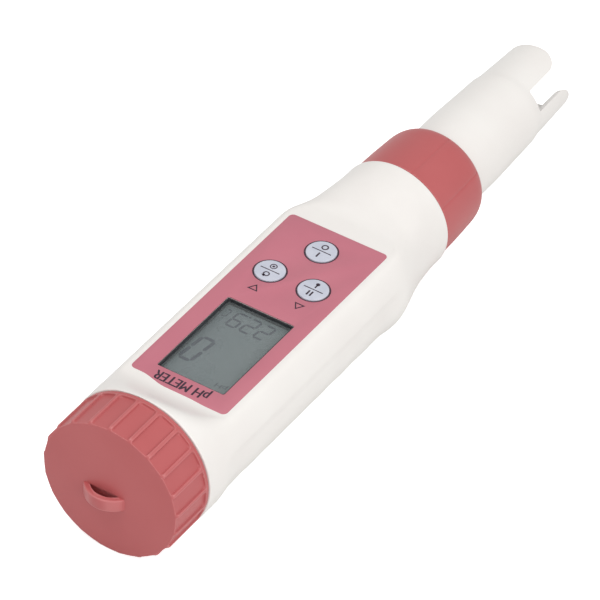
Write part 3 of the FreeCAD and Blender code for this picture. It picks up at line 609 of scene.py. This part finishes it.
def cut_key_holes(piece, bottom, top):
    """Three round holes, cut with copies of one turned tool."""
    pattern = spun("hole_pattern", [(bottom, 0.0), (bottom, 3.95), (top, 3.95), (top, 0.0)],
                   spot(*KEYS["power_key"]), upright=True, steps=64)
    for key in KEYS:
        carve(piece, copied_to(key, pattern, key + "_hole_tool"))
    bpy.data.objects.remove(pattern)


carve(barrel, plate("recess_tool", label_outline(1.3), FLAT - 0.25, 16))
carve(barrel, plate("window_tool", rounded_rectangle(*WINDOW, 0.5), 6, 16))
cut_key_holes(barrel, 6.0, 16.0)
print("openings cut:", len(barrel.data.polygons), "faces")


# %% Screw posts for the battery holder
for side in (-1, 1):
    post = spun("screw_post", [(6.5, 0.95), (6.5, 2.2), (14.5, 2.2), (14.5, 0.95), (6.5, 0.95)],
                spot(0, side * 12.6), steps=32)
    barrel = merged("barrel_shell", [barrel, post])
finish_piece(barrel, white, "meter_body", ["barrel"], angle=40)

# %% [markdown]
# ## The battery cap
# The cap screws on over the spigot. Its side has twenty-one flat panels between narrow ribs,
# for wet fingers, and a low dome closes its end. It is turned like the barrel, with a fine
# mesh round the side, and the panels are pressed by one rule: inside a rounded rectangle the
# skin may stand no higher than the panel's flat.

# %% Turn the cap
PANELS, PANEL_FLAT, PANEL_HALF, PANEL_END, PANEL_CORNER = 21, 18.35, 2.32, 11.6, 0.9
FACE_RADIUS = 18.45
dome = [(-0.9 * (1 - (radius / FACE_RADIUS) ** 2), radius)
        for radius in (0, 2, 4, 6, 8, 10, 12, 14, 16, 17, 17.6)]
edge = eased([(-0.09, 17.6, 0), (0.0, FACE_RADIUS, 0.4), (0.6, 19.0, 0.5),
              (PANEL_END + 0.1, 19.0, 0.2),
              (PANEL_END + 0.35, 18.82, 0.1), (12.9, 18.82, 0.35), (12.9, 17.15, 0.3),
              (2.0, 17.15, 0.8), (2.0, 0.0, 0)], steps=5)
cap = spun("cap_shell", dome + refined(edge[1:-1], 0.34) + edge[-1:], spot(0),
           steps=PANELS * 24)
print("turned cap:", len(cap.data.vertices), "points")


# %% Press the panels and the inner thread
def press_cap():
    """Flat panels round the side, and thread grooves in the bore."""
    for vertex, station, side, height in mesh_places(cap):
        radius = math.hypot(side, height)
        if radius > 18.0 and station < 12.8:
            turn = math.atan2(side, -height)
            pitch = math.tau / PANELS
            middle = round(turn / pitch) * pitch
            along = radius * math.sin(turn - middle)
            out = radius * math.cos(turn - middle)
            beyond = (max(abs(along) - PANEL_HALF + PANEL_CORNER, 0.0),
                      max(station - PANEL_END + PANEL_CORNER, 0.0))
            pressed = smooth_step(0.12, -0.16, math.hypot(*beyond) - PANEL_CORNER)
            out += (min(out, PANEL_FLAT) - out) * pressed
            side = out * math.sin(middle) + along * math.cos(middle)
            height = along * math.sin(middle) - out * math.cos(middle)
        elif 17.0 < radius < 17.3 and 3.0 < station < 11.0:
            ends = smooth_step(3.2, 4.2, station) * smooth_step(10.8, 9.8, station)
            deeper = 0.45 * ends * thread_wave(station, side, height)
            side *= (radius + deeper) / radius
            height *= (radius + deeper) / radius
        vertex.co = spot(station, side, height)


press_cap()
print(PANELS, "panels pressed")

# %% [markdown]
# A half-moon loop for a wrist lanyard stands out of the end face, over a shallow pocket. It is
# an arc-shaped plate with an arc-shaped hole, added to the cap so that the two are one piece.

# %% Lanyard loop
LOOP_SIDE, LOOP_HEIGHT = 0.9, -1.6


def half_moon(root, tip, half_width, steps=20):
    """A chord at one station and an arc that bows out to another, as (station, side)."""
    bow = root - tip
    radius = (half_width ** 2 + bow ** 2) / (2 * bow)
    reach = math.asin(half_width / radius)
    if bow > half_width:
        reach = math.pi - reach
    turns = [reach * (2 * step / steps - 1) for step in range(steps + 1)]
    return [(tip + radius - radius * math.cos(turn), LOOP_SIDE + radius * math.sin(turn))
            for turn in turns]


loop = plate("loop_band", half_moon(0.9, -3.9, 6.6), LOOP_HEIGHT - 1.7, LOOP_HEIGHT + 1.7)
apply_modifier(loop, "BEVEL", width=0.35 * MM, segments=3, limit_method="ANGLE",
               angle_limit=math.radians(50))
carve(cap, loop, "UNION")
carve(cap, plate("loop_hole_tool", half_moon(0.7, -2.6, 4.9), LOOP_HEIGHT - 1.8,
                 LOOP_HEIGHT + 1.8))
finish_piece(cap, rose, "battery_cap", ["battery_cap"], angle=32)

# %% [markdown]
# ## The label
# A rose-coloured printed film fills the recess on the flat, with a square window and three
# holes for the keys. It is a thin plate with rounded corners and a softened edge, and its edge
# next to the cap swings a little, as on the real film. The print is a thin layer of its own: a
# plain title, rings round the keys and two arrows.

# %% Label film
label = plate("label_sheet", label_outline(1.25), FLAT - 0.25, FLAT)
carve(label, plate("label_window_tool", rounded_rectangle(*WINDOW, 0.5), 9, 12))
cut_key_holes(label, 9.0, 12.0)
apply_modifier(label, "BEVEL", width=0.05 * MM, segments=2, limit_method="ANGLE",
               angle_limit=math.radians(60))
finish_piece(label, film, "meter_body", ["label_overlay"])


# %% Title
def words(name, text, station, side, tall, wide, bottom, thick):
    """Plain lettering read with the electrode pointing down, as a thin flat mesh."""
    start_fresh()
    bpy.ops.object.text_add(location=(0, 0, 0))
    piece = bpy.context.object
    piece.data.body = text
    piece.data.align_x = "CENTER"
    piece.data.align_y = "CENTER"
    piece.data.extrude = 0.5
    bpy.ops.object.convert(target="MESH")
    piece = bpy.context.object
    piece.name = name
    reach = [max(v.co[axis] for v in piece.data.vertices)
             - min(v.co[axis] for v in piece.data.vertices) for axis in (0, 1)]
    centre = [(max(v.co[axis] for v in piece.data.vertices)
               + min(v.co[axis] for v in piece.data.vertices)) / 2 for axis in (0, 1)]
    for vertex in piece.data.vertices:
        right = (vertex.co.x - centre[0]) / reach[0] * wide
        up = (vertex.co.y - centre[1]) / reach[1] * tall
        vertex.co = spot(station - up, side + right, bottom + (vertex.co.z + 0.5) * thick)
    return piece


# Two prints, a fifth of a millimetre apart, make the strokes bold.
title = merged("title_print", [
    words("title_print", "pH METER", 29.7, side, 3.9, 14.7, FLAT, thick)
    for side, thick in ((0.22, 0.03), (0.40, 0.032))])
finish_piece(title, print_ink, "meter_body")

# %% Rings round the keys and the two arrows
RING_TOP = FLAT + 0.025
ring_pattern = spun("ring_pattern", [(FLAT, 3.97), (FLAT, 4.24), (RING_TOP, 4.24),
                                     (RING_TOP, 3.97), (FLAT, 3.97)],
                    spot(*KEYS["power_key"]), upright=True, steps=64)
prints = [copied_to(key, ring_pattern, key + "_ring_print") for key in KEYS]
bpy.data.objects.remove(ring_pattern)


def triangle_ring(station, side, pointing):
    """An outlined triangle; pointing is 1 for an apex towards the cap and -1 away from it."""
    outer, inner = [[(station - pointing * grow * 0.95, side),
                     (station + pointing * grow * 0.55, side + grow * 0.95),
                     (station + pointing * grow * 0.55, side - grow * 0.95)]
                    for grow in (1.5, 0.95)]
    arrow = plate("arrow_print", outer, FLAT, FLAT + 0.03)
    carve(arrow, plate("arrow_tool", inner, FLAT - 0.5, FLAT + 0.5))
    return arrow


prints.append(triangle_ring(67.7, 5.9, -1))
prints.append(triangle_ring(68.2, -6.3, 1))
finish_piece(merged("label_print", prints), print_ink, "meter_body")

# %% [markdown]
# ## The display
# Under the clear lens lies the display glass: a greenish grey panel made of two sheets, the
# upper one as large as the window. A black bezel holds it, and its thin rim lines the window's
# walls in black: partly the bezel's own colour, partly painted shade for the shadow in the walls.
# The top row of figures is the pH and the lower row is the temperature. Each figure is made of
# up to seven bars with pointed ends, slanted like real ones.

# %% Display panel
glass_low, glass_high = [reading(corner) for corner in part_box("lcd_glass")]
panel_look = finish("display_panel", (tone(96, 107, 110), tone(102, 113, 114)), (0.24, 0.32),
                    grain=(2600, 0.02), cloud=40)
GLASS_TOP = 8.86


def inside_window(inset):
    """The window's outline, moved in from its four sides."""
    return rounded_rectangle((WINDOW[0][0] + inset, WINDOW[0][1] + inset),
                             (WINDOW[1][0] - inset, WINDOW[1][1] - inset), 0.4)


panel = plate("display_glass_panel", rounded_rectangle(glass_low[:2], glass_high[:2], 0.4),
              glass_low[2], glass_high[2])
upper_glass = plate("upper_glass", inside_window(0.4), glass_high[2] - 0.2, GLASS_TOP)
carve(panel, upper_glass, "UNION")
apply_modifier(panel, "BEVEL", width=0.12 * MM, segments=2, limit_method="ANGLE",
               angle_limit=math.radians(60))
finish_piece(panel, panel_look, "meter_body", ["lcd_glass"])

# %% Bezel
bezel_low, bezel_high = [reading(corner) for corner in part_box("lcd_frame")]
WEB_BOTTOM, WEB_TOP, GLASS_GAP, RIM_WALL = 8.15, 8.5, 0.1, 0.3
bezel = plate("display_bezel", rounded_rectangle(bezel_low[:2], bezel_high[:2], 0.8),
              bezel_low[2], WEB_TOP)
# The rim's black on the window's walls is partly the bezel's own colour and partly painted shade,
# standing in for the shadow inside the window.
carve(bezel, plate("rim", inside_window(0.05), WEB_TOP - 0.2, bezel_high[2]), "UNION")
glass_space = rounded_rectangle((glass_low[0] - GLASS_GAP, glass_low[1] - GLASS_GAP),
                                (glass_high[0] + GLASS_GAP, glass_high[1] + GLASS_GAP), 0.5)
carve(bezel, plate("glass_space", glass_space, bezel_low[2] - 1, WEB_BOTTOM))
carve(bezel, plate("sight_hole", inside_window(0.05 + RIM_WALL), 7, 13))
print("the rim stands", round(bezel_high[2] - GLASS_TOP, 2), "mm above the glass")
finish_piece(bezel, black, "meter_body", ["lcd_frame"])

# %% Seven-bar figures
SLANT = 0.12
BARS = {"0": "abcdef", "2": "abged", "9": "abcdfg", "C": "adef"}
FIGURE_TOP = GLASS_TOP + 0.02


def bar(start, end, thick, station, side):
    """One bar between two (right, up) points, with pointed ends."""
    first, last = Vector(start), Vector(end)
    way = (last - first).normalized()
    normal = Vector((-way.y, way.x)) * thick / 2
    gap = 0.12 * thick
    first, last = first + way * gap, last - way * gap
    ring = [first, first + way * thick / 2 + normal, last - way * thick / 2 + normal, last,
            last - way * thick / 2 - normal, first + way * thick / 2 - normal]
    outline = [(station - p.y, side + p.x + SLANT * p.y) for p in ring]
    return plate("bar", outline, GLASS_TOP, FIGURE_TOP)


def figure(sign, station, side, tall, wide, thick):
    """The bars of one figure; station and side give its lower left corner."""
    half = tall / 2
    ends = {"a": ((0, tall), (wide, tall)), "b": ((wide, half), (wide, tall)),
            "c": ((wide, 0), (wide, half)), "d": ((0, 0), (wide, 0)),
            "e": ((0, 0), (0, half)), "f": ((0, half), (0, tall)), "g": ((0, half), (wide, half))}
    return [bar(*ends[segment], thick, station, side) for segment in BARS[sign]]


figures = figure("0", 48.1, 3.6, 8.9, 3.3, 0.95)
for index, sign in enumerate("229"):
    figures += figure(sign, 60.0, -5.6 + 3.9 * index, 5.2, 2.6, 0.6)
figures += figure("C", 59.6, 6.6, 2.6, 1.2, 0.3)
dot = [(60.0 - 0.3 * math.sin(a), 1.75 + 0.3 * math.cos(a))
       for a in [math.tau * step / 12 for step in range(12)]]
figures.append(plate("point", dot, GLASS_TOP, FIGURE_TOP))
figures.append(words("unit_mark", "pH", 36.0, -6.3, 1.9, 2.9, GLASS_TOP, 0.02))
segment_look = finish("display_segments", (tone(36, 42, 56), tone(44, 51, 65)), (0.3, 0.4),
                      cloud=300)
finish_piece(merged("display_figures", figures), segment_look, "meter_body")

# %% [markdown]
# ## The keys
# Each key is a small painted button that stands a third of a millimetre proud of the label,
# with a skirt underneath that keeps it in its hole. One key is turned as a pattern, and the
# three keys are copies of it, each with its own mesh. A line divides a key's face, with a sign
# for each of its two uses.

# %% A pattern for the keys
KEY_TOP = 11.15
SIGN_LOW, SIGN_HIGH = KEY_TOP - 0.04, KEY_TOP + 0.02
key_pattern = spun("key_pattern", eased([
    (7.5, 0.0, 0), (7.5, 4.6, 0.1), (8.58, 4.6, 0.15), (8.58, 3.8, 0.05),
    (KEY_TOP - 0.05, 3.8, 0.24), (KEY_TOP, 0.0, 0)], steps=5),
    spot(*KEYS["power_key"]), upright=True, steps=72)
print("key pattern:", len(key_pattern.data.vertices), "points")


# %% Signs on the keys
def strip(station, side, tall, wide):
    """A small upright bar of print, centred on a place."""
    return plate("strip", [(station - tall / 2, side - wide / 2),
                           (station - tall / 2, side + wide / 2),
                           (station + tall / 2, side + wide / 2),
                           (station + tall / 2, side - wide / 2)], SIGN_LOW, SIGN_HIGH)


def ring(station, side, outer, inner):
    """A small printed ring."""
    return spun("ring", [(SIGN_LOW, inner), (SIGN_LOW, outer), (SIGN_HIGH, outer),
                         (SIGN_HIGH, inner), (SIGN_LOW, inner)],
                spot(station, side), upright=True, steps=32)


def round_dot(station, side, radius):
    """A small printed dot."""
    turns = [math.tau * step / 20 for step in range(20)]
    return plate("dot", [(station + radius * math.cos(t), side + radius * math.sin(t))
                         for t in turns], SIGN_LOW, SIGN_HIGH)


def key_signs(key, station, side):
    """The dividing line and the two signs of a key."""
    marks = [strip(station, side, 0.24, 5.3)]
    upper, lower = station - 1.6, station + 1.6
    if key == "power_key":
        marks += [strip(upper, side, 1.7, 0.4), ring(lower, side, 0.92, 0.6)]
    if key == "mode_key":
        marks += [ring(upper, side, 0.85, 0.56), ring(lower, side, 0.92, 0.68),
                  round_dot(lower, side, 0.34),
                  plate("arrow", [(upper - 1.15, side + 0.1), (upper - 0.25, side + 0.1),
                                  (upper - 0.7, side + 0.95)], SIGN_LOW, SIGN_HIGH)]
    if key == "hold_key":
        marks += [strip(upper, side - 0.45, 1.7, 0.42), strip(upper, side + 0.45, 1.7, 0.42),
                  strip(lower - 0.35, side, 1.2, 0.36), round_dot(lower + 0.5, side, 0.5)]
    return marks


for key, place in KEYS.items():
    button = copied_to(key, key_pattern, key + "_button")
    finish_piece(button, silver, key, [key], angle=40)
    finish_piece(merged(key + "_print", key_signs(key, *place)), print_ink, key)
bpy.data.objects.remove(key_pattern)

# %% [markdown]
# ## The collar ring
# The collar is the smooth rose ring that clamps the electrode. It screws on the neck, and its
# lip pulls the electrode's flange home. Its far edge is well rounded, and its bore has the
# thread. Four hair-thin seams run along it, where the parts of the mould met.

# %% Collar ring
collar = spun("collar_body", refined(eased([
    (121.5, 13.45, 0.25), (121.5, 14.85, 0.35), (129.0, 14.7, 3.0), (137.6, 14.25, 2.0),
    (139.5, 13.6, 1.2), (140.4, 12.7, 0.6), (140.4, 12.1, 0.25), (135.8, 12.1, 0.2),
    (135.8, 13.45, 0.1), (121.25, 13.45, 0)], steps=6), 0.5), spot(0), steps=216)
print("turned collar:", len(collar.data.vertices), "points")


# %% Press the seams and the inner thread
SEAMS, SEAM_HALF, SEAM_DEPTH = (105.0, 150.0, 285.0, 330.0), 0.9, 0.16


def press_collar():
    """Hair-thin seams along the outside, and thread grooves in the bore."""
    for vertex, station, side, height in mesh_places(collar):
        radius = math.hypot(side, height)
        turn = math.degrees(math.atan2(height, side)) % 360
        if radius > 13.7 and min(abs(turn - seam) for seam in SEAMS) < SEAM_HALF:
            side *= (radius - SEAM_DEPTH) / radius
            height *= (radius - SEAM_DEPTH) / radius
            vertex.co = spot(station, side, height)
        if 13.4 < radius < 13.6 and 122.5 < station < 134.5:
            ends = smooth_step(122.6, 123.6, station) * smooth_step(134.4, 133.4, station)
            deeper = 0.4 * ends * thread_wave(station, side, height)
            vertex.co = spot(station, side * (radius + deeper) / radius,
                             height * (radius + deeper) / radius)


press_collar()
finish_piece(collar, rose, "collar_ring", ["collar_ring"])

# %% [markdown]
# ## The electrode housing
# The long white tip is a thin tube. A flange locks it under the collar, a straight stretch
# takes the storage cap, and the end is slotted right through, which leaves a fork of two
# tongues that guards the glass bulb and lets the water in. The slot's mouth flares, so that
# the tongues end in round corners.

# %% Turn the housing
housing = spun("probe_housing", refined(eased([
    (127.0, 9.2, 0.2), (127.0, 11.55, 0.3), (129.5, 11.55, 0.1), (129.5, 10.5, 0.1),
    (131.1, 10.5, 0.1), (131.1, 11.55, 0.1), (133.35, 11.55, 0.1), (133.35, 13.2, 0.15),
    (135.5, 13.2, 0.15), (135.5, 11.75, 0.15), (142.5, 11.3, 1.0), (153.0, 11.3, 2.0),
    (170.5, 10.68, 0.5), (172.6, 10.28, 0.8), (187.8, 9.6, 0.35), (187.8, 8.2, 0.3),
    (166.0, 8.2, 0.3), (166.0, 4.0, 0.1), (160.0, 4.0, 0.1), (160.0, 9.2, 0.1),
    (127.0, 9.2, 0)], steps=5), 1.6), spot(0), steps=160)
print("turned housing:", len(housing.data.vertices), "points")

# %% Cut the fork
SLOT_TURN = math.radians(145.7)


def turned_about_axis(piece, turn):
    """Turn a piece's mesh about the pen's axis."""
    centre = Matrix.Translation(spot(0))
    piece.data.transform(centre @ Matrix.Rotation(turn, 4, "X") @ centre.inverted())


SLOT_HALF, TIP, FLARE = 3.0, 187.8, 5.2
turns = [math.radians(90 * step / 12) for step in range(13)]
flare = [(TIP - FLARE + FLARE * math.sin(turn), SLOT_HALF + FLARE - FLARE * math.cos(turn))
         for turn in turns]
mouth = [(172.9, -SLOT_HALF), (172.6, -2.7), (172.6, 2.7), (172.9, SLOT_HALF)]
mouth += flare + [(193.0, SLOT_HALF + FLARE), (193.0, -SLOT_HALF - FLARE)]
mouth += [(station, -side) for station, side in reversed(flare)]
slot_tool = plate("slot_tool", mouth, -16, 16)
turned_about_axis(slot_tool, SLOT_TURN - math.radians(90))
carve(housing, slot_tool)
for side in (-6.1, 6.1):
    port = spun("port_tool", [(159.0, 0.0), (159.0, 1.5), (167.0, 1.5), (167.0, 0.0)],
                spot(0, side), steps=32)
    carve(housing, port)
apply_modifier(housing, "BEVEL", width=0.5 * MM, segments=4, limit_method="ANGLE",
               angle_limit=math.radians(55))
finish_piece(housing, white, "electrode", ["electrode_housing"], angle=40)
